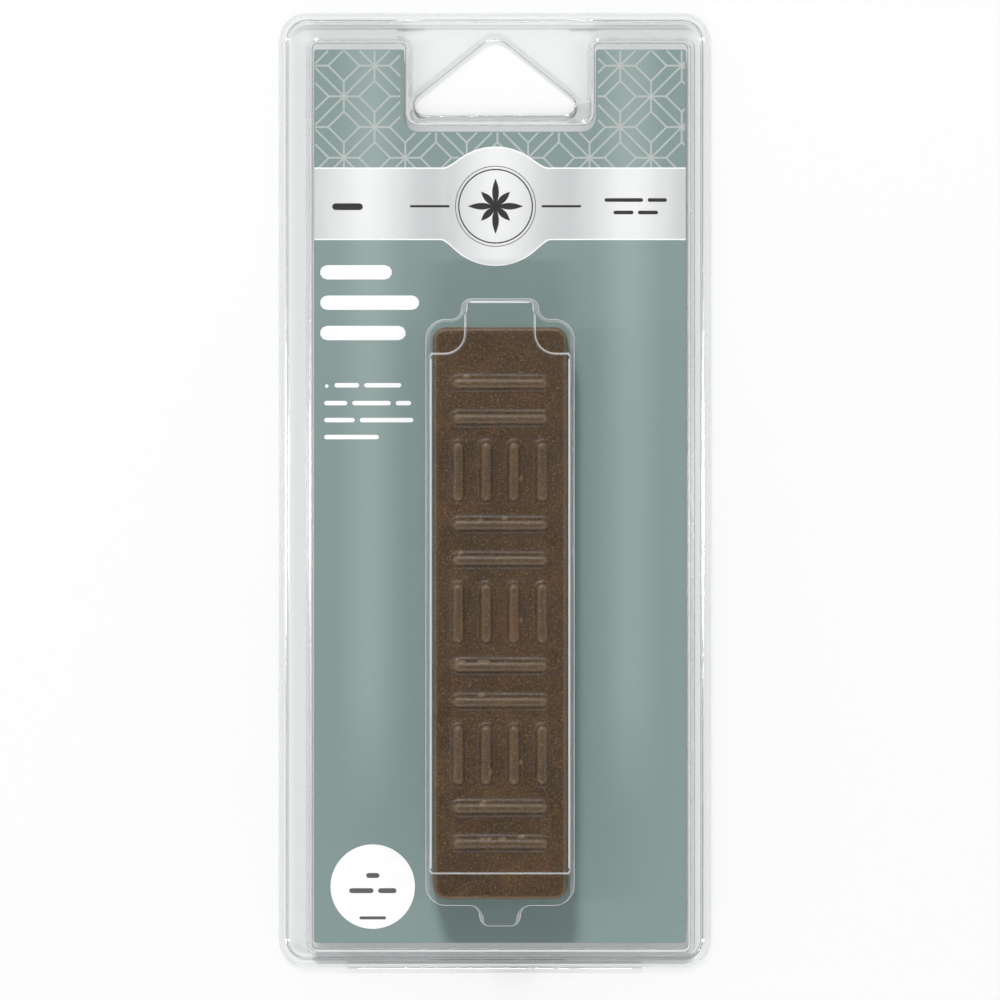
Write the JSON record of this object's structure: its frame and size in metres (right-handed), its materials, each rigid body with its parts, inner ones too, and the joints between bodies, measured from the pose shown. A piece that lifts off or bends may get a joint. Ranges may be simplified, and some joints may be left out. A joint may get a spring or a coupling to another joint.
{
  "type": "furniture repair wax stick in a hanging pack",
  "caption": "Flat block of furniture repair wax with a raised relief, on a printed card in a clear clamshell pack with a hanging hole.",
  "frame": {"origin": "under the middle of the pack, on the surface that its back shell lies on", "axes": "+X to the right and +Y up to the hanging hole as the pack hangs, +Z out of the front, so the pack lies on its back"},
  "size_m": [0.097, 0.2148, 0.0182],
  "materials": {
    "clear_back": "clear glossy thermoformed sheet",
    "clear_front": "clear glossy thermoformed sheet",
    "clear_hinge": "clear sheet, whitened a little where it folds",
    "card": "printed card with a satin varnish and a silver foil band",
    "label": "matt paper",
    "wax": "dull brown wax"
  },
  "bodies": {
    "back_half": {"back_shell": "clear_back", "living_hinge": "clear_hinge", "printed_card": "card", "shade_label": "label", "wax_stick": "wax"},
    "front_half": {"front_shell": "clear_front"}
  },
  "joints": [
    {"name": "shell_open", "type": "hinge", "parent": "back_half", "child": "front_half", "pos_m": [0, -0.10685, 0.00055], "axis": [1, 0, 0], "range_deg": [0, 135], "deforming": ["living_hinge"]}
  ]
}
